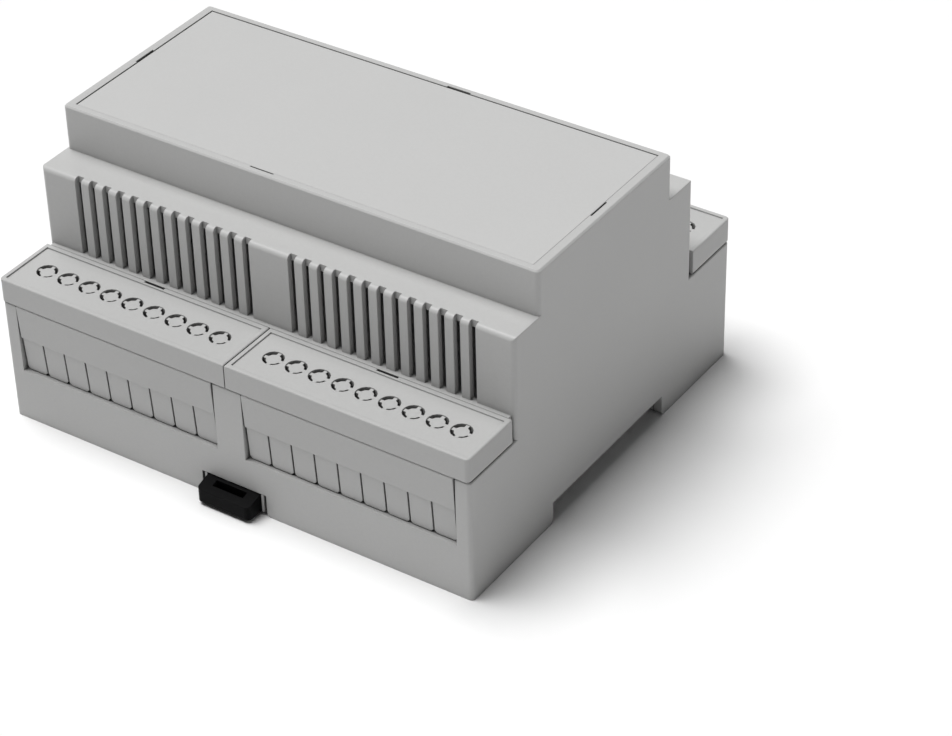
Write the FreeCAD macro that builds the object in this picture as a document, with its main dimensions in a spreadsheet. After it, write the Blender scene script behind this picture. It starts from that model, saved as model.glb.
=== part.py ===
"""Modular DIN rail enclosure: housing, base, front panel, four terminal covers and rail clip.

The origin is the middle of the rail seat. +X runs along the rail, +Z points away from the
rail, and the clip is on the -Y side. All sizes are in millimetres.
"""
import FreeCAD, Part
import os
import Sketcher

SIZES = [
    ("BodyWidth", 106.25, "housing length along the rail, six modules"),
    ("BodyDepth", 90.0, "housing depth across the rail"),
    ("FrontDepth", 45.0, "depth of the raised front block"),
    ("ShoulderDepth", 60.6, "depth over both vented shoulders"),
    ("FrontHeight", 53.3, "rail seat to the top of the rim"),
    ("ShoulderHeight", 43.8, "rail seat to the top of the shoulders"),
    ("CoverTop", 27.1, "rail seat to the top of the terminal covers"),
    ("WallTop", 21.7, "rail seat to the top edge of the lower walls"),
    ("FootDepth", 4.7, "rail seat down to the feet"),
    ("EndWall", 1.7, "thickness of the end walls"),
    ("LowerWall", 1.7, "thickness of the lower front and rear walls"),
    ("UpperWall", 1.7, "thickness of the raised block's front and rear walls"),
    ("VentWall", 1.2, "thickness of the vented shoulder walls"),
    ("ShoulderRoof", 1.5, "thickness of the shoulder tops"),
    ("ShoulderSkirt", 1.7, "how far the shoulder walls reach below the lower walls' top"),
    ("CornerRadius", 0.9, "rounding of the upright corners and along the shoulders"),
    ("RimBevel", 0.35, "bevel along the rim"),
    ("WallBevel", 0.2, "bevel on the lower walls' top edge"),
    ("FootRadius", 1.1, "rounding of the feet towards the rail channel"),
    ("CutoutRadius", 0.9, "rounding of the lower corners of the clip's cut-out"),
    ("StepDrop", 0.1, "terminal cover top down to the step at a shoulder's foot"),
    ("StepWidth", 0.85, "how far that step stands in front of the shoulder"),
    ("StepHeight", 1.6, "height of the step"),
    ("StepInset", 1.0, "end face to the step"),
    ("ChannelNear", 18.4, "rail centre line to the foot on the clip's side"),
    ("ChannelFar", 20.4, "rail centre line to the foot on the hooks' side"),
    ("WindowLength", 46.7, "length of each terminal window"),
    ("SillHeight", 6.75, "rail seat to the window sills"),
    ("VentCount", 13, "slots in each vent group"),
    ("VentPitch", 3.26, "slot to slot"),
    ("VentSlot", 1.45, "slot width"),
    ("VentMiddle", 8.8, "plain wall between the two vent groups"),
    ("PanelThickness", 2.0, "front panel"),
    ("RimEnd", 1.95, "width of the rim at the ends"),
    ("RimSide", 1.5, "width of the rim at the front and the rear"),
    ("PanelRecess", 0.1, "rim top to panel top"),
    ("PanelGap", 0.12, "clearance round the panel"),
    ("PanelBevel", 0.1, "bevel round the panel's top"),
    ("LedgeWidth", 1.5, "ledge that carries the panel"),
    ("LedgeThickness", 1.5, "ledge height"),
    ("PryLength", 5.2, "pry notches in the rim"),
    ("PryDepth", 0.35, "how far a pry notch cuts into the rim"),
    ("PryOffset", 7.3, "sideways offset of the front and rear pry notches"),
    ("LatchWidth", 6.0, "latches below the front panel"),
    ("LatchThickness", 1.2, "latch arm"),
    ("LatchReach", 4.0, "latch length below the panel"),
    ("LatchSpacing", 60.0, "distance between the latches of one side"),
    ("LatchGap", 0.2, "latch to ledge"),
    ("CoverSeam", 0.15, "lower wall top to cover lip"),
    ("CoverProud", 0.3, "how far the lip stands in front of the lower wall"),
    ("CoverGap", 0.2, "clearance between neighbouring covers and at the step"),
    ("CoverRoof", 1.5, "thickness of a cover's top"),
    ("CoverLip", 1.5, "thickness of a cover's lip"),
    ("CheekThickness", 1.2, "thickness of a cover's end cheeks"),
    ("CoverRadius", 0.9, "upright corner of a cover at the housing's end"),
    ("CoverEdge", 0.18, "bevel of a cover's top edges"),
    ("LipBevel", 0.25, "bevels of the groove between lip and plate"),
    ("CoverRim", 0.95, "raised rim round a cover's top"),
    ("CoverRecess", 0.3, "depth of the field inside that rim"),
    ("CoverNotch", 4.7, "length of the pry notch at the back of a cover"),
    ("CoverNotchDepth", 0.5, "depth of that notch"),
    ("TabThickness", 0.8, "snap tabs inside a cover's ends"),
    ("TabGap", 0.2, "snap tab to the end wall"),
    ("TabSetback", 2.4, "lip face to a tab"),
    ("TabWidth", 10.0, "width of a tab"),
    ("TabReach", 3.0, "how far a tab reaches below the cheeks"),
    ("TerminalCount", 9, "knock-outs and tongues of each cover"),
    ("KnockoutInset", 6.7, "wall face to the row of knock-outs"),
    ("KnockoutRadius", 2.1, "outer radius of the broken ring"),
    ("KnockoutSlot", 0.65, "width of the ring's slots"),
    ("KnockoutBridge", 0.75, "width of the four bridges"),
    ("KnockoutRecess", 0.25, "how far the disc and its bridges lie below the field"),
    ("PlateGap", 0.3, "hanging plate to the window"),
    ("PlateFoot", 0.2, "wall face to the plate's lower edge, its top is level with the lip"),
    ("TongueHead", 0.4, "wall face to the tongues' upper ends"),
    ("TongueSetback", 0.92, "wall face to the tongues' lower ends"),
    ("TongueThickness", 1.0, "tongues"),
    ("TongueTop", 14.4, "rail seat to the plate's lower edge"),
    ("TongueGap", 0.2, "tongue ends to the sill"),
    ("TongueSlit", 0.38, "slit between tongues"),
    ("TongueCorner", 0.5, "cut tongue corners"),
    ("BaseGap", 0.15, "base to housing"),
    ("FloorThickness", 1.8, "floor of the base"),
    ("FlangeThickness", 1.5, "upright edge of the base"),
    ("FlangeTop", 5.5, "rail seat to the top of that edge"),
    ("SeatWidth", 30.0, "flat that rests on the rail"),
    ("SeatRelief", 0.4, "relief beside that flat"),
    ("RailWidth", 35.0, "standard rail, over its flanges"),
    ("RailThickness", 1.0, "rail flange"),
    ("RailPlay", 0.2, "rail to hooks"),
    ("HookGrip", 0.8, "how far the fixed hooks reach under the rail"),
    ("HookWidth", 14.0, "each fixed hook"),
    ("HookSpacing", 50.0, "between the fixed hooks' middles"),
    ("HookLip", 0.6, "thickness of the hooks' and the clip's tip"),
    ("ClipWidth", 12.1, "rail clip"),
    ("ClipReach", 3.8, "how far the clip's head stands out of the wall"),
    ("ClipHeadTop", -0.1, "rail seat to the top of the clip's head"),
    ("ClipFall", 1.0, "slope of the head's top"),
    ("ClipUnderside", 0.8, "feet to the clip's underside"),
    ("ClipPlate", 1.8, "thickness of the clip's plate"),
    ("ClipRail", 1.2, "side rails on the clip's plate"),
    ("ClipGrip", 1.3, "how far the clip's nose reaches under the rail"),
    ("ClipRadius", 1.0, "upright corners of the clip's head"),
    ("DriverLength", 7.0, "screwdriver slot in the clip's head"),
    ("DriverWidth", 1.4, "width of that slot"),
    ("DriverDepth", 2.4, "depth of that slot"),
    ("DriverInset", 0.6, "wall face to that slot"),
    ("SpringWindow", 12.0, "length of the window round the clip's bow spring"),
    ("SpringWindowWidth", 7.0, "width of that window"),
    ("SpringEnd", 27.0, "rail centre line to the inner end of that window"),
    ("SpringStrip", 0.9, "thickness of the bow spring"),
    ("SpringRise", 2.4, "height of the bow"),
    ("ClipTravel", 3.0, "how far the clip slides out to free the rail"),
    ("PegDiameter", 2.4, "peg that the bow spring pushes against"),
    ("GuideGap", 0.2, "clip to its guide"),
    ("GuideWall", 0.55, "guide walls beside the clip"),
    ("GuideSlit", 0.6, "guide walls to the housing's cut-out"),
    ("GuideRoof", 1.5, "roof of the clip's guide"),
    ("GuideLip", 1.0, "lips that carry the clip from below"),
    ("GuideLipHeight", 0.55, "thickness of those lips"),
    ("PillarWidth", 5.0, "square board pillars"),
    ("PillarBore", 2.2, "pilot bores in the pillars"),
    ("PillarSeat", 4.8, "rail seat to the board's underside"),
    ("PillarSpacingX", 89.0, "between the pillars, along the rail"),
    ("PillarSpacingY", 68.0, "between the pillars, across the rail"),
    ("ArmWidth", 8.0, "snap arms that hold the housing"),
    ("ArmMiddle", 34.0, "rail centre line to the middle of an arm"),
    ("ArmTop", 16.0, "rail seat to the top of the arms"),
    ("NoseReach", 0.7, "how far the arms' noses stand out"),
    ("NoseHeight", 1.6, "height of the noses"),
    ("NoseGap", 0.15, "nose to its recess"),
]

FACE = "(Sizes.BodyDepth / 2)"
END = "(Sizes.BodyWidth / 2)"
END_INSIDE = "(Sizes.BodyWidth / 2 - Sizes.EndWall)"
SHOULDER = "(Sizes.ShoulderDepth / 2)"
BLOCK = "(Sizes.FrontDepth / 2)"
BLOCK_INSIDE = "(Sizes.FrontDepth / 2 - Sizes.UpperWall)"
FLOOR = "(-Sizes.FootDepth)"
PANEL_TOP = "(Sizes.FrontHeight - Sizes.PanelRecess)"
LEDGE_TOP = "(Sizes.FrontHeight - Sizes.PanelRecess - Sizes.PanelThickness)"
STEP_FACE = "(Sizes.ShoulderDepth / 2 + Sizes.StepWidth)"
STEP_TOP = "(Sizes.CoverTop - Sizes.StepDrop)"
SEAT_X = "(Sizes.BodyWidth / 2 - Sizes.RimEnd)"
SEAT_Y = "(Sizes.FrontDepth / 2 - Sizes.RimSide)"
COVER_LENGTH = "(Sizes.BodyWidth / 2 - Sizes.CoverGap)"
COVER_BACK = "(Sizes.ShoulderDepth / 2 + Sizes.StepWidth + Sizes.CoverGap)"
COVER_BOTTOM = "(Sizes.WallTop + Sizes.CoverSeam)"
LIP_FACE = "(Sizes.BodyDepth / 2 + Sizes.CoverProud)"
PLATE_LENGTH = "(Sizes.WindowLength - 2 * Sizes.PlateGap)"
TERMINAL_PITCH = "((Sizes.WindowLength - 2 * Sizes.PlateGap) / Sizes.TerminalCount)"
FIRST_TERMINAL = f"(-{TERMINAL_PITCH} * (Sizes.TerminalCount - 1) / 2)"
BASE_END = "(Sizes.BodyWidth / 2 - Sizes.EndWall - Sizes.BaseGap)"
BASE_SIDE = "(Sizes.BodyDepth / 2 - Sizes.LowerWall - Sizes.BaseGap)"
RAIL_EDGE = "(Sizes.RailWidth / 2)"
GUIDE_INSIDE = "(Sizes.ClipWidth / 2 + Sizes.GuideGap)"
GUIDE_OUTSIDE = "(Sizes.ClipWidth / 2 + Sizes.GuideGap + Sizes.GuideWall)"
GUIDE_CEILING = "(Sizes.ClipHeadTop + Sizes.GuideGap)"
CLIP_BOTTOM = "(Sizes.ClipUnderside - Sizes.FootDepth)"
FAR_OUT = 5.0

document = FreeCAD.newDocument("DinRailEnclosure")
sheet = document.addObject("Spreadsheet::Sheet", "Sizes")
for row, (alias, number, meaning) in enumerate(SIZES, 1):
    sheet.set(f"A{row}", alias)
    sheet.set(f"B{row}", str(number))
    sheet.setAlias(f"B{row}", alias)
    sheet.set(f"C{row}", meaning)
document.recompute()


def value(expression):
    """Present value of an expression of the sheet's sizes."""
    return float(sheet.evalExpression(str(expression)))


def new_body(name):
    body = document.addObject("PartDesign::Body", name)
    body.Label = name
    return body


def origin_part(body, role):
    return next(item for item in body.Origin.OriginFeatures if item.Role == role)


def new_sketch(body, role, offset="0"):
    """Sketch on one of the body's origin planes, moved along the plane's normal.

    The normals are +Z for XY_Plane, -Y for XZ_Plane and +X for YZ_Plane.
    """
    sketch = body.newObject("Sketcher::SketchObject", f"{body.Name}_sketch")
    sketch.AttachmentSupport = [(origin_part(body, role), "")]
    sketch.MapMode = "FlatFace"
    sketch.setExpression(".AttachmentOffset.Base.z", str(offset))
    return sketch


def tie(sketch, kind, geometry, point, expression):
    """Distance from the sketch's origin to a point, bound to an expression."""
    number = sketch.addConstraint(
        Sketcher.Constraint(kind, -1, 1, geometry, point, value(expression)))
    sketch.setExpression(f"Constraints[{number}]", str(expression))


def arc_between(start, end, radius, swell):
    """Arc shorter than a half circle; swell is 1 when it swells to the right of its way."""
    chord = end - start
    half = chord.Length / 2
    rise = radius - (radius ** 2 - half ** 2) ** 0.5
    right = FreeCAD.Vector(chord.y, -chord.x, 0)
    right.Length = rise
    return Part.Arc(start, (start + end) * 0.5 + right * swell, end)


def outline(sketch, corners, arcs=None):
    """Closed outline; each corner is a pair of expressions.

    A side is straight unless arcs gives its radius and swell under the side's number.
    """
    arcs = arcs or {}
    points = [FreeCAD.Vector(value(across), value(up), 0) for across, up in corners]
    first = sketch.GeometryCount
    count = len(points)
    tails, heads = [], []
    for step, start in enumerate(points):
        end = points[(step + 1) % count]
        swell = 1
        if step in arcs:
            radius, swell = arcs[step]
            side = arc_between(start, end, value(radius), swell)
        else:
            side = Part.LineSegment(start, end)
        sketch.addGeometry(side, False)
        tails.append(1 if swell > 0 else 2)
        heads.append(2 if swell > 0 else 1)
    for step in range(count):
        following = (step + 1) % count
        sketch.addConstraint(Sketcher.Constraint(
            "Coincident", first + step, heads[step], first + following, tails[following]))
    for step, (across, up) in enumerate(corners):
        tie(sketch, "DistanceX", first + step, tails[step], across)
        tie(sketch, "DistanceY", first + step, tails[step], up)
    for step, (radius, swell) in arcs.items():
        number = sketch.addConstraint(
            Sketcher.Constraint("Radius", first + step, value(radius)))
        sketch.setExpression(f"Constraints[{number}]", radius)


def rectangle(sketch, left, right, bottom, top):
    outline(sketch, [(left, bottom), (right, bottom), (right, top), (left, top)])


def circle(sketch, across, up, radius):
    centre = FreeCAD.Vector(value(across), value(up), 0)
    index = sketch.addGeometry(
        Part.Circle(centre, FreeCAD.Vector(0, 0, 1), value(radius)), False)
    tie(sketch, "DistanceX", index, 3, across)
    tie(sketch, "DistanceY", index, 3, up)
    number = sketch.addConstraint(Sketcher.Constraint("Radius", index, value(radius)))
    sketch.setExpression(f"Constraints[{number}]", str(radius))


def pad(body, sketch, length, backwards=False):
    feature = body.newObject("PartDesign::Pad", f"{body.Name}_pad")
    feature.Profile = sketch
    feature.setExpression("Length", str(length))
    feature.Reversed = backwards
    document.recompute()
    return feature


def pocket(body, sketch, depth, backwards=False):
    """Cut against the sketch's normal, or along it when backwards."""
    before = body.Shape.Volume
    feature = body.newObject("PartDesign::Pocket", f"{body.Name}_pocket")
    feature.Profile = sketch
    feature.setExpression("Length", str(depth))
    feature.Reversed = backwards
    document.recompute()
    if not body.Shape.Volume < before:
        raise RuntimeError(f"{feature.Name} removes nothing")
    return feature


def repeat(body, feature, steps):
    """Copies of a feature. A step is a mirror plane, or (axis, length, count)."""
    group = body.newObject("PartDesign::MultiTransform", f"{body.Name}_copies")
    group.Originals = [feature]
    moves = []
    for step in steps:
        if isinstance(step, str):
            move = body.newObject("PartDesign::Mirrored", f"{body.Name}_mirror")
            move.MirrorPlane = (origin_part(body, step), [""])
        else:
            axis, length, count = step
            move = body.newObject("PartDesign::LinearPattern", f"{body.Name}_row")
            move.Direction = (origin_part(body, axis), [""])
            move.setExpression("Length", length)
            move.setExpression("Occurrences", count)
        moves.append(move)
    group.Transformations = moves
    body.Tip = group
    document.recompute()
    return group


def edge_names(feature, wanted):
    """Names of the feature's edges for which wanted(one end, other end) holds."""
    names = []
    for number, edge in enumerate(feature.Shape.Edges, 1):
        ends = [vertex.Point for vertex in edge.Vertexes]
        if len(ends) == 2 and wanted(*ends):
            names.append(f"Edge{number}")
    return names


def soften(body, feature, kind, size, wanted):
    """Fillet or chamfer the edges picked by wanted."""
    names = edge_names(feature, wanted)
    if not names:
        raise RuntimeError(f"no edge of {feature.Name} to soften")
    result = body.newObject(f"PartDesign::{kind}", f"{body.Name}_{kind.lower()}")
    result.Base = (feature, names)
    result.setExpression("Radius" if kind == "Fillet" else "Size", f"Sizes.{size}")
    document.recompute()
    if "Invalid" in result.State:
        raise RuntimeError(f"{result.Name} failed")
    return result


def near(number, expression):
    return abs(number - value(expression)) < 1e-4


def along(axis, one, other):
    """True where an edge runs parallel to an axis, 0 for X, 1 for Y, 2 for Z."""
    return all(abs(one[n] - other[n]) < 1e-4 for n in range(3) if n != axis)


def build_housing():
    """Stepped shell, open below for the base and above for the front panel."""
    body = new_body("housing")
    sketch = new_sketch(body, "YZ_Plane", f"-{END}")
    outline(sketch, [
        (f"-{FACE}", FLOOR),
        (f"-{FACE}", "Sizes.WallTop"),
        (f"-{SHOULDER}", "Sizes.WallTop"),
        (f"-{SHOULDER}", "Sizes.ShoulderHeight"),
        (f"-{BLOCK}", "Sizes.ShoulderHeight"),
        (f"-{BLOCK}", "Sizes.FrontHeight"),
        (BLOCK, "Sizes.FrontHeight"),
        (BLOCK, "Sizes.ShoulderHeight"),
        (SHOULDER, "Sizes.ShoulderHeight"),
        (SHOULDER, "Sizes.WallTop"),
        (FACE, "Sizes.WallTop"),
        (FACE, FLOOR),
        ("Sizes.ChannelFar + Sizes.FootRadius", FLOOR),
        ("Sizes.ChannelFar", f"{FLOOR} + Sizes.FootRadius"),
        ("Sizes.ChannelFar", "0"),
        ("-Sizes.ChannelNear", "0"),
        ("-Sizes.ChannelNear", f"{FLOOR} + Sizes.FootRadius"),
        ("-Sizes.ChannelNear - Sizes.FootRadius", FLOOR),
    ], {12: ("Sizes.FootRadius", -1), 16: ("Sizes.FootRadius", -1)})
    block = pad(body, sketch, "Sizes.BodyWidth")

    def outer_corner(one, other):
        at_end = near(abs(one.x), END)
        upright = along(2, one, other) and at_end and abs(one.y) > value(BLOCK) - 0.1
        level = near(one.z, "Sizes.ShoulderHeight") and near(other.z, "Sizes.ShoulderHeight")
        shoulder = along(0, one, other) and near(abs(one.y), SHOULDER)
        return upright or (level and shoulder)

    rounded = soften(body, block, "Fillet", "CornerRadius", outer_corner)

    def rim_edge(one, other):
        return near(one.z, "Sizes.FrontHeight") and near(other.z, "Sizes.FrontHeight")

    rounded = soften(body, rounded, "Chamfer", "RimBevel", rim_edge)

    def wall_top_edge(one, other):
        level = near(one.z, "Sizes.WallTop") and near(other.z, "Sizes.WallTop")
        return level and max(abs(one.y), abs(other.y)) > value(SHOULDER) + 0.01

    soften(body, rounded, "Chamfer", "WallBevel", wall_top_edge)

    sketch = new_sketch(body, "XZ_Plane", STEP_FACE)
    step_end = f"({END} - Sizes.StepInset)"
    rectangle(sketch, f"-{step_end}", step_end, f"{STEP_TOP} - Sizes.StepHeight", STEP_TOP)
    step = pad(body, sketch, "Sizes.StepWidth + Sizes.VentWall / 2", backwards=True)
    repeat(body, step, ["XZ_Plane"])

    sketch = new_sketch(body, "YZ_Plane", f"-{END_INSIDE}")
    inside = f"({FACE} - Sizes.LowerWall)"
    vent_inside = f"({SHOULDER} - Sizes.VentWall)"
    under_roof = "(Sizes.ShoulderHeight - Sizes.ShoulderRoof)"
    skirt = "(Sizes.WallTop - Sizes.ShoulderSkirt)"
    above_wall = f"(Sizes.WallTop + {FAR_OUT})"
    above_shoulder = f"(Sizes.ShoulderHeight + {FAR_OUT})"
    under_ledge = f"({LEDGE_TOP} - Sizes.LedgeThickness)"
    half = [
        (inside, f"({FLOOR} - {FAR_OUT})"),
        (inside, above_wall),
        (SHOULDER, above_wall),
        (SHOULDER, skirt),
        (vent_inside, skirt),
        (vent_inside, under_roof),
        (BLOCK_INSIDE, under_roof),
        (BLOCK_INSIDE, under_ledge),
    ]
    outline(sketch, half + [(f"-{across}", up) for across, up in reversed(half)])
    pocket(body, sketch, f"2 * {END_INSIDE}", backwards=True)

    sketch = new_sketch(body, "XY_Plane", "Sizes.FrontHeight")
    rectangle(sketch, f"-{SEAT_X}", SEAT_X, f"-{SEAT_Y}", SEAT_Y)
    pocket(body, sketch, f"Sizes.FrontHeight - {LEDGE_TOP}")

    sketch = new_sketch(body, "XY_Plane", LEDGE_TOP)
    inner_x = f"({END_INSIDE} - Sizes.LedgeWidth)"
    inner_y = f"({BLOCK_INSIDE} - Sizes.LedgeWidth)"
    rectangle(sketch, f"-{inner_x}", inner_x, f"-{inner_y}", inner_y)
    pocket(body, sketch, f"Sizes.LedgeThickness + {FAR_OUT}")

    sketch = new_sketch(body, "XZ_Plane", FACE)
    middle = "(Sizes.BodyWidth / 4)"
    rectangle(sketch, f"{middle} - Sizes.WindowLength / 2", f"{middle} + Sizes.WindowLength / 2",
              "Sizes.SillHeight", above_wall)
    window = pocket(body, sketch, "Sizes.LowerWall")
    repeat(body, window, ["YZ_Plane", "XZ_Plane"])

    sketch = new_sketch(body, "XZ_Plane", FACE)
    cutout = f"({GUIDE_OUTSIDE} + Sizes.GuideSlit)"
    wide = f"({cutout} + Sizes.CutoutRadius)"
    above_foot = f"({FLOOR} + Sizes.CutoutRadius)"
    below = f"({FLOOR} - {FAR_OUT})"
    outline(sketch, [
        (f"-{wide}", below),
        (wide, below),
        (wide, FLOOR),
        (cutout, above_foot),
        (cutout, GUIDE_CEILING),
        (f"-{cutout}", GUIDE_CEILING),
        (f"-{cutout}", above_foot),
        (f"-{wide}", FLOOR),
    ], {2: ("Sizes.CutoutRadius", -1), 6: ("Sizes.CutoutRadius", -1)})
    pocket(body, sketch, "Sizes.LowerWall")

    sketch = new_sketch(body, "XZ_Plane", SHOULDER)
    first = "(Sizes.VentMiddle / 2)"
    rectangle(sketch, first, f"{first} + Sizes.VentSlot", STEP_TOP, above_shoulder)
    slot = pocket(body, sketch, "Sizes.VentWall")
    row = ("X_Axis", "Sizes.VentPitch * (Sizes.VentCount - 1)", "Sizes.VentCount")
    repeat(body, slot, [row, "YZ_Plane", "XZ_Plane"])

    sketch = new_sketch(body, "XY_Plane", "Sizes.FrontHeight")
    half_pry = "(Sizes.PryLength / 2)"
    deep_x = f"({SEAT_X} + Sizes.PryDepth)"
    deep_y = f"({SEAT_Y} + Sizes.PryDepth)"
    short_x = f"({SEAT_X} - Sizes.PanelGap / 2)"
    short_y = f"({SEAT_Y} - Sizes.PanelGap / 2)"
    rectangle(sketch, f"-{deep_x}", f"-{short_x}", f"-{half_pry}", half_pry)
    rectangle(sketch, short_x, deep_x, f"-{half_pry}", half_pry)
    rectangle(sketch, f"-Sizes.PryOffset - {half_pry}", f"-Sizes.PryOffset + {half_pry}",
              f"-{deep_y}", f"-{short_y}")
    rectangle(sketch, f"Sizes.PryOffset - {half_pry}", f"Sizes.PryOffset + {half_pry}",
              short_y, deep_y)
    pocket(body, sketch, f"Sizes.FrontHeight - {LEDGE_TOP}")

    sketch = new_sketch(body, "YZ_Plane", END_INSIDE)
    half_arm = "(Sizes.ArmWidth / 2 + Sizes.NoseGap)"
    rectangle(sketch, f"Sizes.ArmMiddle - {half_arm}", f"Sizes.ArmMiddle + {half_arm}",
              "Sizes.ArmTop - Sizes.NoseHeight - Sizes.NoseGap", "Sizes.ArmTop + Sizes.NoseGap")
    recess = pocket(body, sketch, "Sizes.NoseReach - Sizes.BaseGap + Sizes.NoseGap", backwards=True)
    repeat(body, recess, ["YZ_Plane", "XZ_Plane"])
    return body


def build_front_panel():
    """Flat plate on the housing's ledge, with latches below it."""
    body = new_body("front_panel")
    half_x = f"({SEAT_X} - Sizes.PanelGap)"
    half_y = f"({SEAT_Y} - Sizes.PanelGap)"
    sketch = new_sketch(body, "XY_Plane", LEDGE_TOP)
    rectangle(sketch, f"-{half_x}", half_x, f"-{half_y}", half_y)
    plate = pad(body, sketch, "Sizes.PanelThickness")
    soften(body, plate, "Chamfer", "PanelBevel",
           lambda one, other: near(one.z, PANEL_TOP) and near(other.z, PANEL_TOP))

    sketch = new_sketch(body, "XY_Plane", LEDGE_TOP)
    outside = f"({BLOCK_INSIDE} - Sizes.LedgeWidth - Sizes.LatchGap)"
    middle = "(Sizes.LatchSpacing / 2)"
    rectangle(sketch, f"{middle} - Sizes.LatchWidth / 2", f"{middle} + Sizes.LatchWidth / 2",
              f"{outside} - Sizes.LatchThickness", outside)
    latch = pad(body, sketch, "Sizes.LatchReach", backwards=True)
    repeat(body, latch, ["YZ_Plane", "XZ_Plane"])
    return body


def ring_corners(across, up, quarter, radius, steps, count):
    """Corners along a quarter of the knock-out's ring, clear of the bridges beside it."""
    lean = f"asin(Sizes.KnockoutBridge / 2 / {radius})"
    corners = []
    for step in steps:
        share = f"(90 deg - 2 * {lean}) * {step} / {count}"
        angle = f"({90 * quarter} deg + {lean} + {share})"
        corners.append((f"{across} + {radius} * cos({angle})",
                        f"{up} + {radius} * sin({angle})"))
    return corners


def knockout_recess(sketch, across, up):
    """Outline of the disc with its ring."""
    corners = []
    for quarter in range(4):
        corners += ring_corners(across, up, quarter, "Sizes.KnockoutRadius", [0, 1, 2, 3], 3)
    outline(sketch, corners)


def knockout_slots(sketch, across, up):
    """Four curved slots in a ring, with a bridge towards each side."""
    inner = "(Sizes.KnockoutRadius - Sizes.KnockoutSlot)"
    for quarter in range(4):
        outline(sketch,
                ring_corners(across, up, quarter, "Sizes.KnockoutRadius", [0, 1, 2, 3], 3)
                + ring_corners(across, up, quarter, inner, [2, 1, 0], 2))


def place_cover(body, quarter_turns, side):
    """Move a cover that is drawn about its own middle to one of the four corners."""
    body.setExpression(".Placement.Base.x", f"{side} * Sizes.BodyWidth / 4")
    body.Placement.Rotation = FreeCAD.Rotation(FreeCAD.Vector(0, 0, 1), 90 * quarter_turns)


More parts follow.
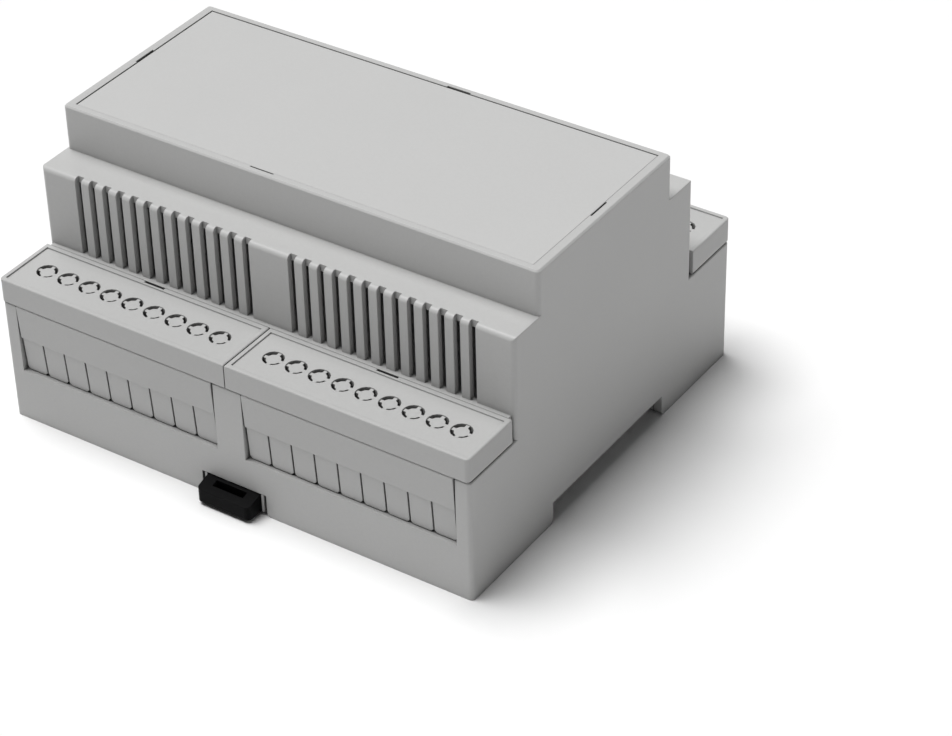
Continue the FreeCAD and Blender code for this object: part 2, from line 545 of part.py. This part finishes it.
def build_cover(name, side):
    """Terminal cover in front; side is the end of the housing that it is at, -1 or 1."""
    body = new_body(name)
    half = f"({COVER_LENGTH} / 2)"
    sketch = new_sketch(body, "XY_Plane", COVER_BOTTOM)
    rectangle(sketch, f"-{half}", half, f"-{LIP_FACE}", f"-{COVER_BACK}")
    block = pad(body, sketch, f"Sizes.CoverTop - {COVER_BOTTOM}")

    def end_corner(one, other):
        return along(2, one, other) and near(one.y, f"-{LIP_FACE}") and one.x * side > 0

    rounded = soften(body, block, "Fillet", "CoverRadius", end_corner)

    def top_edge(one, other):
        behind = near(one.y, f"-{COVER_BACK}") and near(other.y, f"-{COVER_BACK}")
        level = near(one.z, "Sizes.CoverTop") and near(other.z, "Sizes.CoverTop")
        return level and not behind

    rounded = soften(body, rounded, "Chamfer", "CoverEdge", top_edge)

    def lip_edge(one, other):
        level = near(one.z, COVER_BOTTOM) and near(other.z, COVER_BOTTOM)
        return level and along(0, one, other) and near(one.y, f"-{LIP_FACE}")

    soften(body, rounded, "Chamfer", "LipBevel", lip_edge)

    sketch = new_sketch(body, "XY_Plane", COVER_BOTTOM)
    inner = f"({half} - Sizes.CheekThickness)"
    lip_back = f"({LIP_FACE} - Sizes.CoverLip)"
    rectangle(sketch, f"-{inner}", inner, f"-{lip_back}", f"-{COVER_BACK} + {FAR_OUT}")
    pocket(body, sketch, f"Sizes.CoverTop - {COVER_BOTTOM} - Sizes.CoverRoof", backwards=True)

    sketch = new_sketch(body, "XY_Plane", "Sizes.CoverTop")
    field = f"({half} - Sizes.CoverRim)"
    rectangle(sketch, f"-{field}", field,
              f"-{LIP_FACE} + Sizes.CoverRim", f"-{COVER_BACK} - Sizes.CoverRim")
    pocket(body, sketch, "Sizes.CoverRecess")

    sketch = new_sketch(body, "XY_Plane", "Sizes.CoverTop")
    half_notch = "(Sizes.CoverNotch / 2)"
    rectangle(sketch, f"-{half_notch}", half_notch,
              f"-{COVER_BACK} - Sizes.CoverNotchDepth", f"-{COVER_BACK} + {FAR_OUT}")
    pocket(body, sketch, "Sizes.CoverRoof")

    row = ("X_Axis", f"{TERMINAL_PITCH} * (Sizes.TerminalCount - 1)", "Sizes.TerminalCount")
    sketch = new_sketch(body, "XY_Plane", "Sizes.CoverTop")
    knockout_recess(sketch, FIRST_TERMINAL, f"-{FACE} + Sizes.KnockoutInset")
    recess = pocket(body, sketch, "Sizes.CoverRecess + Sizes.KnockoutRecess")
    repeat(body, recess, [row])
    sketch = new_sketch(body, "XY_Plane", "Sizes.CoverTop")
    knockout_slots(sketch, FIRST_TERMINAL, f"-{FACE} + Sizes.KnockoutInset")
    ring = pocket(body, sketch, "Sizes.CoverRoof")
    repeat(body, ring, [row])

    groove = f"({LIP_FACE} - Sizes.LipBevel)"
    in_lip = f"({COVER_BOTTOM} + Sizes.CoverLip)"
    foot = "(Sizes.SillHeight + Sizes.TongueGap)"
    sketch = new_sketch(body, "YZ_Plane", f"-{PLATE_LENGTH} / 2")
    outline(sketch, [
        (f"-{groove}", in_lip),
        (f"-{groove}", COVER_BOTTOM),
        (f"-{LIP_FACE}", f"{COVER_BOTTOM} - Sizes.LipBevel"),
        (f"Sizes.PlateFoot - {FACE}", "Sizes.TongueTop"),
        (f"Sizes.TongueHead - {FACE}", "Sizes.TongueTop"),
        (f"Sizes.TongueSetback - {FACE}", foot),
        (f"Sizes.TongueSetback + Sizes.TongueThickness - {FACE}", foot),
        (f"Sizes.TongueHead + Sizes.TongueThickness - {FACE}", "Sizes.TongueTop"),
        (f"Sizes.PlateFoot + Sizes.CoverLip - {FACE}", "Sizes.TongueTop"),
        (f"-{lip_back}", COVER_BOTTOM),
        (f"-{lip_back}", in_lip),
    ])
    pad(body, sketch, PLATE_LENGTH)

    sketch = new_sketch(body, "XZ_Plane", FACE)
    right = f"(Sizes.TongueSlit / 2 - {PLATE_LENGTH} / 2)"
    left = f"(-Sizes.TongueSlit / 2 - {PLATE_LENGTH} / 2)"
    corner = f"({foot} + Sizes.TongueCorner)"
    below = f"({foot} - {FAR_OUT})"
    outline(sketch, [
        (left, "Sizes.TongueTop"),
        (left, corner),
        (f"{left} - Sizes.TongueCorner", foot),
        (f"{left} - Sizes.TongueCorner", below),
        (f"{right} + Sizes.TongueCorner", below),
        (f"{right} + Sizes.TongueCorner", foot),
        (right, corner),
        (right, "Sizes.TongueTop"),
    ])
    slit = pocket(body, sketch, "Sizes.LowerWall + Sizes.TongueThickness")
    repeat(body, slit, [("X_Axis", PLATE_LENGTH, "Sizes.TerminalCount + 1")])

    outer_face = "(Sizes.BodyWidth / 4 - Sizes.EndWall - Sizes.TabGap)"
    tab_front = f"(Sizes.TabSetback - {LIP_FACE})"
    sketch = new_sketch(body, "YZ_Plane", outer_face)
    rectangle(sketch, tab_front, f"{tab_front} + Sizes.TabWidth",
              f"{COVER_BOTTOM} - Sizes.TabReach", "Sizes.CoverTop - Sizes.CoverRoof / 2")
    tab = pad(body, sketch, "Sizes.TabThickness", backwards=True)
    repeat(body, tab, ["YZ_Plane"])
    place_cover(body, 0, side)
    return body


def turned_cover(name, original, side):
    """The same moulding as original, turned to the housing's rear."""
    body = new_body(name)
    copy = body.newObject("PartDesign::FeatureBase", f"{name}_copy")
    copy.BaseFeature = original
    body.Tip = copy
    document.recompute()
    place_cover(body, 2, side)
    return body


def build_base():
    """Tray that closes the housing below, with the rail hooks and the clip's guide."""
    body = new_body("base")
    floor_top = f"({FLOOR} + Sizes.FloorThickness)"
    inside = f"({BASE_SIDE} - Sizes.FlangeThickness)"
    near_wall = "(Sizes.ChannelNear + Sizes.FloorThickness)"
    far_wall = "(Sizes.ChannelFar + Sizes.FloorThickness)"
    underside = [
        (f"-{BASE_SIDE}", "Sizes.FlangeTop"),
        (f"-{BASE_SIDE}", FLOOR),
        ("-Sizes.ChannelNear - Sizes.FootRadius", FLOOR),
        ("-Sizes.ChannelNear", f"{FLOOR} + Sizes.FootRadius"),
        ("-Sizes.ChannelNear", "Sizes.SeatRelief"),
        ("-Sizes.SeatWidth / 2", "Sizes.SeatRelief"),
        ("-Sizes.SeatWidth / 2", "0"),
        ("Sizes.SeatWidth / 2", "0"),
        ("Sizes.SeatWidth / 2", "Sizes.SeatRelief"),
        ("Sizes.ChannelFar", "Sizes.SeatRelief"),
        ("Sizes.ChannelFar", f"{FLOOR} + Sizes.FootRadius"),
        ("Sizes.ChannelFar + Sizes.FootRadius", FLOOR),
        (BASE_SIDE, FLOOR),
        (BASE_SIDE, "Sizes.FlangeTop"),
    ]
    foot_arcs = {2: ("Sizes.FootRadius", 1), 10: ("Sizes.FootRadius", 1)}
    sketch = new_sketch(body, "YZ_Plane", f"-{BASE_END}")
    outline(sketch, underside + [
        (inside, "Sizes.FlangeTop"),
        (inside, floor_top),
        (far_wall, floor_top),
        (far_wall, "Sizes.FloorThickness"),
        (f"-{near_wall}", "Sizes.FloorThickness"),
        (f"-{near_wall}", floor_top),
        (f"-{inside}", floor_top),
        (f"-{inside}", "Sizes.FlangeTop"),
    ], foot_arcs)
    pad(body, sketch, f"2 * {BASE_END}")

    sketch = new_sketch(body, "YZ_Plane", BASE_END)
    outline(sketch, underside, foot_arcs)
    end_plate = pad(body, sketch, "Sizes.FlangeThickness", backwards=True)
    repeat(body, end_plate, ["YZ_Plane"])

    sketch = new_sketch(body, "XZ_Plane", BASE_SIDE)
    shell = f"({GUIDE_INSIDE} + Sizes.FlangeThickness)"
    rectangle(sketch, f"-{shell}", shell,
              f"{FLOOR} + Sizes.FootRadius", f"{GUIDE_CEILING} + Sizes.GuideRoof")
    pad(body, sketch, f"{BASE_SIDE} - Sizes.ChannelNear", backwards=True)

    sketch = new_sketch(body, "XZ_Plane", f"{BASE_SIDE} + {FAR_OUT}")
    rectangle(sketch, f"-{GUIDE_INSIDE}", GUIDE_INSIDE, f"{FLOOR} - {FAR_OUT}", GUIDE_CEILING)
    pocket(body, sketch, f"{BASE_SIDE} + {FAR_OUT} - Sizes.ChannelNear")

    sketch = new_sketch(body, "XZ_Plane", BASE_SIDE)
    rectangle(sketch, GUIDE_INSIDE, GUIDE_OUTSIDE, CLIP_BOTTOM, "0")
    strip = pad(body, sketch, "Sizes.BaseGap + Sizes.LowerWall")
    repeat(body, strip, ["YZ_Plane"])

    sketch = new_sketch(body, "XZ_Plane", BASE_SIDE)
    rectangle(sketch, f"{GUIDE_INSIDE} - Sizes.GuideLip", f"{GUIDE_INSIDE} + Sizes.FlangeThickness",
              FLOOR, f"{FLOOR} + Sizes.GuideLipHeight")
    lip = pad(body, sketch, f"{BASE_SIDE} - Sizes.ChannelNear - Sizes.FootRadius", backwards=True)
    repeat(body, lip, ["YZ_Plane"])

    sketch = new_sketch(body, "XY_Plane", GUIDE_CEILING)
    bow = "(Sizes.SpringEnd + Sizes.SpringRise + Sizes.SpringStrip)"
    circle(sketch, "0", f"-({bow} + Sizes.ClipTravel + Sizes.GuideGap + Sizes.PegDiameter / 2)",
           "Sizes.PegDiameter / 2")
    pad(body, sketch, f"{GUIDE_CEILING} - {CLIP_BOTTOM}", backwards=True)

    grip = f"({RAIL_EDGE} - Sizes.HookGrip)"
    stop = f"({RAIL_EDGE} + Sizes.RailPlay)"
    under_rail = "(-Sizes.RailThickness - Sizes.RailPlay)"
    root = "(Sizes.ChannelFar + Sizes.FloorThickness / 2)"
    sketch = new_sketch(body, "YZ_Plane", "Sizes.HookSpacing / 2 - Sizes.HookWidth / 2")
    outline(sketch, [
        (root, "Sizes.FloorThickness / 2"),
        (stop, "Sizes.FloorThickness / 2"),
        (stop, under_rail),
        (grip, under_rail),
        (grip, f"{under_rail} - Sizes.HookLip"),
        (stop, CLIP_BOTTOM),
        (root, CLIP_BOTTOM),
    ])
    hook = pad(body, sketch, "Sizes.HookWidth")
    repeat(body, hook, ["YZ_Plane"])

    sketch = new_sketch(body, "XY_Plane", FLOOR)
    pillar_x = "(Sizes.PillarSpacingX / 2)"
    pillar_y = "(Sizes.PillarSpacingY / 2)"
    half_pillar = "Sizes.PillarWidth / 2"
    rectangle(sketch, f"{pillar_x} - {half_pillar}", f"{pillar_x} + {half_pillar}",
              f"{pillar_y} - {half_pillar}", f"{pillar_y} + {half_pillar}")
    pillar = pad(body, sketch, "Sizes.PillarSeat + Sizes.FootDepth")
    repeat(body, pillar, ["YZ_Plane", "XZ_Plane"])
    sketch = new_sketch(body, "XY_Plane", "Sizes.PillarSeat")
    circle(sketch, pillar_x, pillar_y, "Sizes.PillarBore / 2")
    bore = pocket(body, sketch, f"Sizes.PillarSeat - {floor_top}")
    repeat(body, bore, ["YZ_Plane", "XZ_Plane"])

    sketch = new_sketch(body, "XZ_Plane", "-(Sizes.ArmMiddle - Sizes.ArmWidth / 2)")
    nose = f"({BASE_END} + Sizes.NoseReach)"
    outline(sketch, [
        (f"{BASE_END} - Sizes.FlangeThickness", "Sizes.FlangeTop - Sizes.FlangeThickness"),
        (BASE_END, "Sizes.FlangeTop - Sizes.FlangeThickness"),
        (BASE_END, "Sizes.ArmTop - Sizes.NoseHeight"),
        (nose, "Sizes.ArmTop - Sizes.NoseHeight"),
        (BASE_END, "Sizes.ArmTop"),
        (f"{BASE_END} - Sizes.FlangeThickness", "Sizes.ArmTop"),
    ])
    arm = pad(body, sketch, "Sizes.ArmWidth", backwards=True)
    repeat(body, arm, ["YZ_Plane", "XZ_Plane"])
    return body


def build_rail_clip():
    """Sprung slide in the foot: head with screwdriver slot, bow spring and nose."""
    body = new_body("rail_clip")
    start = "(-Sizes.ClipWidth / 2)"
    top = "Sizes.ClipHeadTop"
    tip_face = f"({FACE} + Sizes.ClipReach)"
    head_back = f"({FACE} - Sizes.LowerWall)"
    plate_top = f"({CLIP_BOTTOM} + Sizes.ClipPlate)"
    nose = f"({RAIL_EDGE} - Sizes.ClipGrip)"
    shoulder = f"({RAIL_EDGE} + Sizes.RailPlay)"
    under_rail = "(-Sizes.RailThickness - Sizes.RailPlay)"
    sketch = new_sketch(body, "YZ_Plane", start)
    outline(sketch, [
        (f"-{tip_face}", CLIP_BOTTOM),
        (f"-{shoulder}", CLIP_BOTTOM),
        (f"-{nose}", f"{under_rail} - Sizes.HookLip"),
        (f"-{nose}", under_rail),
        (f"-{shoulder}", under_rail),
        (f"-{shoulder}", "-Sizes.RailPlay"),
        (f"-{shoulder} - Sizes.ClipPlate", "-Sizes.RailPlay"),
        (f"-{shoulder} - Sizes.ClipPlate", plate_top),
        (f"-{head_back}", plate_top),
        (f"-{head_back}", top),
        (f"-{FACE}", top),
        (f"-{tip_face}", f"{top} - Sizes.ClipFall"),
    ])
    block = pad(body, sketch, "Sizes.ClipWidth")

    def tip_corner(one, other):
        return along(2, one, other) and near(one.y, f"-{tip_face}")

    soften(body, block, "Fillet", "ClipRadius", tip_corner)

    sketch = new_sketch(body, "XY_Plane", plate_top)
    rectangle(sketch, "Sizes.ClipWidth / 2 - Sizes.ClipRail", "Sizes.ClipWidth / 2",
              f"-{FACE}", f"-{shoulder}")
    rail = pad(body, sketch, f"-Sizes.RailPlay - {plate_top}")
    repeat(body, rail, ["YZ_Plane"])

    sketch = new_sketch(body, "XY_Plane", top)
    rectangle(sketch, "-Sizes.DriverLength / 2", "Sizes.DriverLength / 2",
              f"-{FACE} - Sizes.DriverInset - Sizes.DriverWidth", f"-{FACE} - Sizes.DriverInset")
    pocket(body, sketch, "Sizes.DriverDepth")

    sketch = new_sketch(body, "XY_Plane", plate_top)
    half = "(Sizes.SpringWindowWidth / 2)"
    window_end = "(-Sizes.SpringEnd)"
    bow_foot = f"({window_end} - Sizes.SpringStrip)"
    radius = f"(({half}^2 + Sizes.SpringRise^2) / (2 * Sizes.SpringRise))"
    outline(sketch, [
        (half, bow_foot),
        (f"-{half}", bow_foot),
        (f"-{half}", f"{window_end} - Sizes.SpringWindow"),
        (half, f"{window_end} - Sizes.SpringWindow"),
    ], {0: (radius, -1)})
    outline(sketch, [(half, window_end), (f"-{half}", window_end)], {0: (radius, -1)})
    pocket(body, sketch, "Sizes.ClipPlate")
    return body


front_left = build_cover("front_left_cover", -1)
front_right = build_cover("front_right_cover", 1)
PARTS = [
    build_housing(),
    build_front_panel(),
    front_left,
    front_right,
    turned_cover("rear_left_cover", front_right, -1),
    turned_cover("rear_right_cover", front_left, 1),
    build_base(),
    build_rail_clip(),
]
document.recompute()

for item in document.Objects:
    if "Invalid" in item.State or "Error" in item.State:
        raise RuntimeError(f"{item.Name} failed: {item.State}")
for part in PARTS:
    if part.Shape.isNull() or not part.Shape.isValid():
        raise RuntimeError(f"{part.Label} has no valid shape")
os.makedirs("parts", exist_ok=True)
for part in PARTS:
    part.Shape.exportStep(f"parts/{part.Label}.step")
    box = part.Shape.BoundBox
    print(part.Label, "solids", len(part.Shape.Solids), "volume", round(part.Shape.Volume, 1),
          "x", round(box.XMin, 2), round(box.XMax, 2), "y", round(box.YMin, 2), round(box.YMax, 2),
          "z", round(box.ZMin, 2), round(box.ZMax, 2))
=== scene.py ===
import math
import bmesh
import bpy
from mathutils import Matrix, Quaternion, Vector


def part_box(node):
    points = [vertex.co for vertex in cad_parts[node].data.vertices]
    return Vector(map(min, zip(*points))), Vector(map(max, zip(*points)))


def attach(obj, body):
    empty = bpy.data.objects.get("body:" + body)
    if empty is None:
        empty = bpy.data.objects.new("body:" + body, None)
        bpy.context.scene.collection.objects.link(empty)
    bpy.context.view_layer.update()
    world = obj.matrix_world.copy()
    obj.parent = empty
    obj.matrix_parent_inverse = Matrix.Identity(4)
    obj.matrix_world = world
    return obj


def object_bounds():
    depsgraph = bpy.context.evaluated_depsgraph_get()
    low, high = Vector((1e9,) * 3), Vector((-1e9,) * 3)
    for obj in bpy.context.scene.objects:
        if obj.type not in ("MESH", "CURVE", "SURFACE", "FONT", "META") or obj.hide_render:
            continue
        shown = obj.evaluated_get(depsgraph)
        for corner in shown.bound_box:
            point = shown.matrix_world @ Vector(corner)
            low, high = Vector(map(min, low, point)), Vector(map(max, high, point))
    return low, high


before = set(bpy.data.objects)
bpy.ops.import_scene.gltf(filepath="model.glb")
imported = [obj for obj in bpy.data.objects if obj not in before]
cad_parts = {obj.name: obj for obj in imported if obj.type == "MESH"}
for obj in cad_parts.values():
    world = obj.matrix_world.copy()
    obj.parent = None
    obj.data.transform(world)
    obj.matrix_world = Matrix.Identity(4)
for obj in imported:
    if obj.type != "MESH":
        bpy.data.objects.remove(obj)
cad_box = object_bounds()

MM = 0.001
WHITE = (1, 1, 1, 1)
scene = bpy.context.scene


# Helpers for objects and shader nodes

def add_object(name, data):
    """A new object with that data, in the scene."""
    thing = bpy.data.objects.new(name, data)
    scene.collection.objects.link(thing)
    return thing


def add_node(tree, kind, values=None):
    """A new shader node of that kind, with the inputs named in values set."""
    node = tree.nodes.new("ShaderNode" + kind)
    for name, value in (values or {}).items():
        node.inputs[name].default_value = value
    return node


def add_noise(tree, place, scale, detail, roughness=0.5):
    """Noise with about as many features to a metre as scale says."""
    node = add_node(tree, "TexNoise", {"Scale": scale, "Detail": detail, "Roughness": roughness})
    tree.links.new(place, node.inputs["Vector"])
    return node.outputs["Fac"]


def map_range(tree, source, before, after):
    """The source with the range before stretched to the range after, and held inside it."""
    node = add_node(tree, "MapRange", {"From Min": before[0], "From Max": before[1],
                                       "To Min": after[0], "To Max": after[1]})
    tree.links.new(source, node.inputs["Value"])
    return node.outputs["Result"]


# Moulded plastic: what all its materials share

REFRACTIVE_INDEX = 1.46
GRAIN_DETAIL = 2.0
GRAIN_ROUGHNESS = 0.55
GRAIN_STRENGTH = 0.5
CLOUDS_PER_METRE = 38.0
CLOUD_DETAIL = 3.0
SPECK_DETAIL = 1.0
RAY_SAMPLES = 6

# How many times as wide as a grain a speck is

SPECK_TO_GRAIN = 2.6

# The part of a noise's values that counts, and what clouds and specks then add to the tone

NOISE_RANGE = (0.3, 0.7)
CLOUD_SHARE = (0.15, 0.45)
SPECK_SHARE = (0.0, 0.4)

# How far the roughness goes below and above the material's own, from speck to speck

ROUGHNESS_BELOW = 0.05
ROUGHNESS_ABOVE = 0.06

# How open the surface is, from deep in a slit to its mouth, and how much of the tone the painted shade in
# slits keeps there

SLIT_OPENNESS = (0.18, 0.55)
SLIT_PAINTED_SHADE_TONE = (0.1, 1.0)

# The places of the colour sockets among a Mix node's inputs and outputs

MIX_FIRST = 6
MIX_SECOND = 7
MIX_RESULT = 2


def uneven_colour(tree, colour, tone_spread, cloud, speck):
    """The colour, from a little darker to a little lighter, in soft clouds and in specks."""
    tone = add_node(tree, "Math")
    tone.operation = "ADD"
    tree.links.new(map_range(tree, cloud, NOISE_RANGE, CLOUD_SHARE), tone.inputs[0])
    tree.links.new(map_range(tree, speck, NOISE_RANGE, SPECK_SHARE), tone.inputs[1])
    mix = add_node(tree, "Mix")
    mix.data_type = "RGBA"
    mix.inputs[MIX_FIRST].default_value = [part * (1 - tone_spread) for part in colour] + [1]
    mix.inputs[MIX_SECOND].default_value = [part * (1 + tone_spread) for part in colour] + [1]
    tree.links.new(tone.outputs["Value"], mix.inputs["Factor"])
    return mix.outputs[MIX_RESULT]


def paint_shade_in_slits(tree, colour, painted_shade_mm):
    """The colour with painted shade, darkened where other surfaces stand closer than about the given
    distance, as in slits and seams.
    """
    crevice = add_node(tree, "AmbientOcclusion", {"Distance": painted_shade_mm * MM})
    crevice.samples = RAY_SAMPLES
    painted_shade = map_range(tree, crevice.outputs["AO"], SLIT_OPENNESS, SLIT_PAINTED_SHADE_TONE)
    mix = add_node(tree, "Mix", {"Factor": 1.0})
    mix.data_type = "RGBA"
    mix.blend_type = "MULTIPLY"
    tree.links.new(colour, mix.inputs[MIX_FIRST])
    tree.links.new(painted_shade, mix.inputs[MIX_SECOND])
    return mix.outputs[MIX_RESULT]


def grainy_normal(tree, grain, grain_depth_mm, edge_mm):
    """The surface's normal, with the edges softened over edge_mm and the grain as bumps."""
    edge = add_node(tree, "Bevel", {"Radius": edge_mm * MM})
    edge.samples = RAY_SAMPLES
    bump = add_node(tree, "Bump", {"Strength": GRAIN_STRENGTH, "Distance": grain_depth_mm * MM})
    tree.links.new(grain, bump.inputs["Height"])
    tree.links.new(edge.outputs["Normal"], bump.inputs["Normal"])
    return bump.outputs["Normal"]


def moulded_plastic(name, colour, roughness=0.44, shine=0.5, tone_spread=0.035,
                    grain_mm=0.24, grain_depth_mm=0.024, edge_mm=0.2, painted_shade_mm=2.0):
    """Moulded plastic: fine grain, slightly uneven tone and sheen, softened edges, painted shade in slits.
    """
    material = bpy.data.materials.new(name)
    material.use_nodes = True
    tree = material.node_tree
    tree.nodes.clear()
    place = add_node(tree, "TexCoord").outputs["Object"]
    grain = add_noise(tree, place, 1.0 / (grain_mm * MM), GRAIN_DETAIL, GRAIN_ROUGHNESS)
    cloud = add_noise(tree, place, CLOUDS_PER_METRE, CLOUD_DETAIL)
    speck = add_noise(tree, place, 1.0 / (grain_mm * SPECK_TO_GRAIN * MM), SPECK_DETAIL)

    # The tone gets painted shade in slits and seams
    tone = paint_shade_in_slits(tree, uneven_colour(tree, colour, tone_spread, cloud, speck), painted_shade_mm)
    sheen_range = (roughness - ROUGHNESS_BELOW, roughness + ROUGHNESS_ABOVE)
    sheen = map_range(tree, speck, NOISE_RANGE, sheen_range)
    normal = grainy_normal(tree, grain, grain_depth_mm, edge_mm)
    shader = add_node(tree, "BsdfPrincipled", {"IOR": REFRACTIVE_INDEX, "Specular IOR Level": shine})
    tree.links.new(tone, shader.inputs["Base Color"])
    tree.links.new(sheen, shader.inputs["Roughness"])
    tree.links.new(normal, shader.inputs["Normal"])
    output = add_node(tree, "OutputMaterial")
    tree.links.new(shader.outputs["BSDF"], output.inputs["Surface"])
    return material


# The enclosure's plastics: pale grey mouldings and a black clip

SHELL_GREY = (0.52, 0.52, 0.515)
COVER_GREY = (0.5, 0.5, 0.495)
PANEL_GREY = (0.55, 0.55, 0.545)
CLIP_BLACK = (0.0025, 0.0025, 0.0028)

# Each moulding gets painted shade in its slits and seams; the covers' painted shade reaches less far
shell = moulded_plastic("shell_plastic", SHELL_GREY, edge_mm=0.24)
cover = moulded_plastic("cover_plastic", COVER_GREY, painted_shade_mm=1.1)
panel = moulded_plastic("panel_plastic", PANEL_GREY, roughness=0.46, tone_spread=0.03,
                        grain_depth_mm=0.02, edge_mm=0.14)
tray = moulded_plastic("tray_plastic", SHELL_GREY, roughness=0.5)
black = moulded_plastic("clip_plastic", CLIP_BLACK, roughness=0.42, shine=0.05, tone_spread=0.05,
                        grain_mm=0.25, grain_depth_mm=0.012)

FINISH = {
    "housing": shell,
    "front_panel": panel,
    "front_left_cover": cover,
    "front_right_cover": cover,
    "rear_left_cover": cover,
    "rear_right_cover": cover,
    "base": tray,
    "rail_clip": black,
}
for node_name, material in FINISH.items():
    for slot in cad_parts[node_name].material_slots:
        slot.link = "OBJECT"
        slot.material = material


# Posts below the ends of the step at the shoulders' feet, on top of the housing's end walls

COVER_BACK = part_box("rear_right_cover")[0].y
COVER_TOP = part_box("rear_right_cover")[1].z
END_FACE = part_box("housing")[1].x

# The clearance is to the cover's back, the drop is below its top, the inset is from the end face

POST_CLEARANCE = 0.21 * MM
POST_DROP = 0.11 * MM
POST_INSET = 1.01 * MM
POST_LENGTH = 0.65 * MM
POST_DEPTH = 1.8 * MM
POST_HEIGHT = 6.3 * MM
POST_ROUNDING = 0.15 * MM
ARC_STEPS = 4


def add_post(build, along, across):
    """One post behind a cover's cheek, with its outer corner rounded, let into the housing.

    along and across are 1 or -1 and say at which of the four corners it stands."""
    outer = END_FACE - POST_INSET
    inner = outer - POST_LENGTH
    near_cover = COVER_BACK - POST_CLEARANCE
    far_side = near_cover - POST_DEPTH
    top = COVER_TOP - POST_DROP
    corners = [(inner, far_side), (outer, far_side)]
    for step in range(ARC_STEPS + 1):
        angle = math.radians(90) * step / ARC_STEPS
        corners.append((outer - POST_ROUNDING * (1 - math.cos(angle)),
                        near_cover - POST_ROUNDING * (1 - math.sin(angle))))
    corners.append((inner, near_cover))
    lower, upper = [[build.verts.new((along * x, across * y, z)) for x, y in corners]
                    for z in (top - POST_HEIGHT, top)]
    build.faces.new(lower)
    build.faces.new(upper)
    for here in range(len(corners)):
        after = (here + 1) % len(corners)
        build.faces.new((lower[here], lower[after], upper[after], upper[here]))


build = bmesh.new()
for along in (-1, 1):
    for across in (-1, 1):
        add_post(build, along, across)
bmesh.ops.recalc_face_normals(build, faces=build.faces)
posts_mesh = bpy.data.meshes.new("housing_step_ends")
build.to_mesh(posts_mesh)
build.free()
posts_mesh.materials.append(shell)
step_ends = add_object("housing_step_ends", posts_mesh)
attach(step_ends, "enclosure_body")


# Backdrop: white where it shows, and dimmer in the light that it gives

def backdrop_rays(tree):
    """1 for the rays that show the backdrop: straight, by reflection or through glass."""
    rays = add_node(tree, "LightPath")
    shown = rays.outputs["Is Camera Ray"]
    for kind in ("Is Glossy Ray", "Is Transmission Ray"):
        either = add_node(tree, "Math")
        either.operation = "MAXIMUM"
        tree.links.new(shown, either.inputs[0])
        tree.links.new(rays.outputs[kind], either.inputs[1])
        shown = either.outputs["Value"]
    return shown


def shade_backdrop(tree, output_kind, shader_kind, lit, seen):
    """A shader of that kind twice: with the values lit for the light it gives, and seen where it shows."""
    tree.nodes.clear()
    mix = add_node(tree, "MixShader")
    tree.links.new(backdrop_rays(tree), mix.inputs["Fac"])
    for place, values in enumerate((lit, seen), start=1):
        tree.links.new(add_node(tree, shader_kind, values).outputs[0], mix.inputs[place])
    output = add_node(tree, output_kind)
    tree.links.new(mix.outputs["Shader"], output.inputs["Surface"])


# Floor: it takes the object's soft shadow

FLOOR_Z = cad_box[0][2]
FLOOR_REACH = 6.0
FLOOR_LIT = (0.9, 0.9, 0.9, 1)

floor_mesh = bpy.data.meshes.new("floor")
floor_mesh.from_pydata([(x * FLOOR_REACH, y * FLOOR_REACH, FLOOR_Z)
                        for x, y in ((-1, -1), (1, -1), (1, 1), (-1, 1))], [], [(0, 1, 2, 3)])
paper = bpy.data.materials.new("floor_paper")
paper.use_nodes = True
shade_backdrop(paper.node_tree, "OutputMaterial", "BsdfDiffuse", {"Color": FLOOR_LIT}, {"Color": WHITE})
floor_mesh.materials.append(paper)
add_object("floor", floor_mesh)


# Light: an even pale room and one broad soft lamp above, whose light comes from the left

ROOM_STRENGTH = 0.09
LIGHT_DIRECTION = (0.29, 0.07, -1.0)
LAMP_STRENGTH = 3.0
LAMP_SPREAD = math.radians(38.0)

world = bpy.data.worlds.new("room")
world.use_nodes = True
shade_backdrop(world.node_tree, "OutputWorld", "Background",
               {"Color": WHITE, "Strength": ROOM_STRENGTH}, {"Color": WHITE, "Strength": 1.0})
scene.world = world

lamp = bpy.data.lights.new("key", "SUN")
lamp.energy = LAMP_STRENGTH
lamp.angle = LAMP_SPREAD
key = add_object("key", lamp)
key.rotation_euler = Vector(LIGHT_DIRECTION).to_track_quat("-Z", "Y").to_euler()


# Camera: fitted to the photograph

SENSOR_WIDTH_MM = 36.0
FOCAL_LENGTH_MM = 116.84
SHIFT_X = 0.000076
SHIFT_Y = -0.000591
NEAREST_SEEN = 10.0 * MM
FARTHEST_SEEN = 50000.0 * MM
CAMERA_PLACE = Vector((293.2321, -392.3637, 351.4243)) * MM
CAMERA_TURN = Quaternion((0.85353755, 0.43335631, 0.14027416, 0.25298045))

lens = bpy.data.cameras.new("camera")
lens.sensor_width = SENSOR_WIDTH_MM
lens.lens = FOCAL_LENGTH_MM
lens.shift_x = SHIFT_X
lens.shift_y = SHIFT_Y
lens.clip_start = NEAREST_SEEN
lens.clip_end = FARTHEST_SEEN
camera = add_object("camera", lens)
camera.location = CAMERA_PLACE
camera.rotation_mode = "QUATERNION"
camera.rotation_quaternion = CAMERA_TURN
scene.camera = camera

scene.view_settings.view_transform = "Standard"
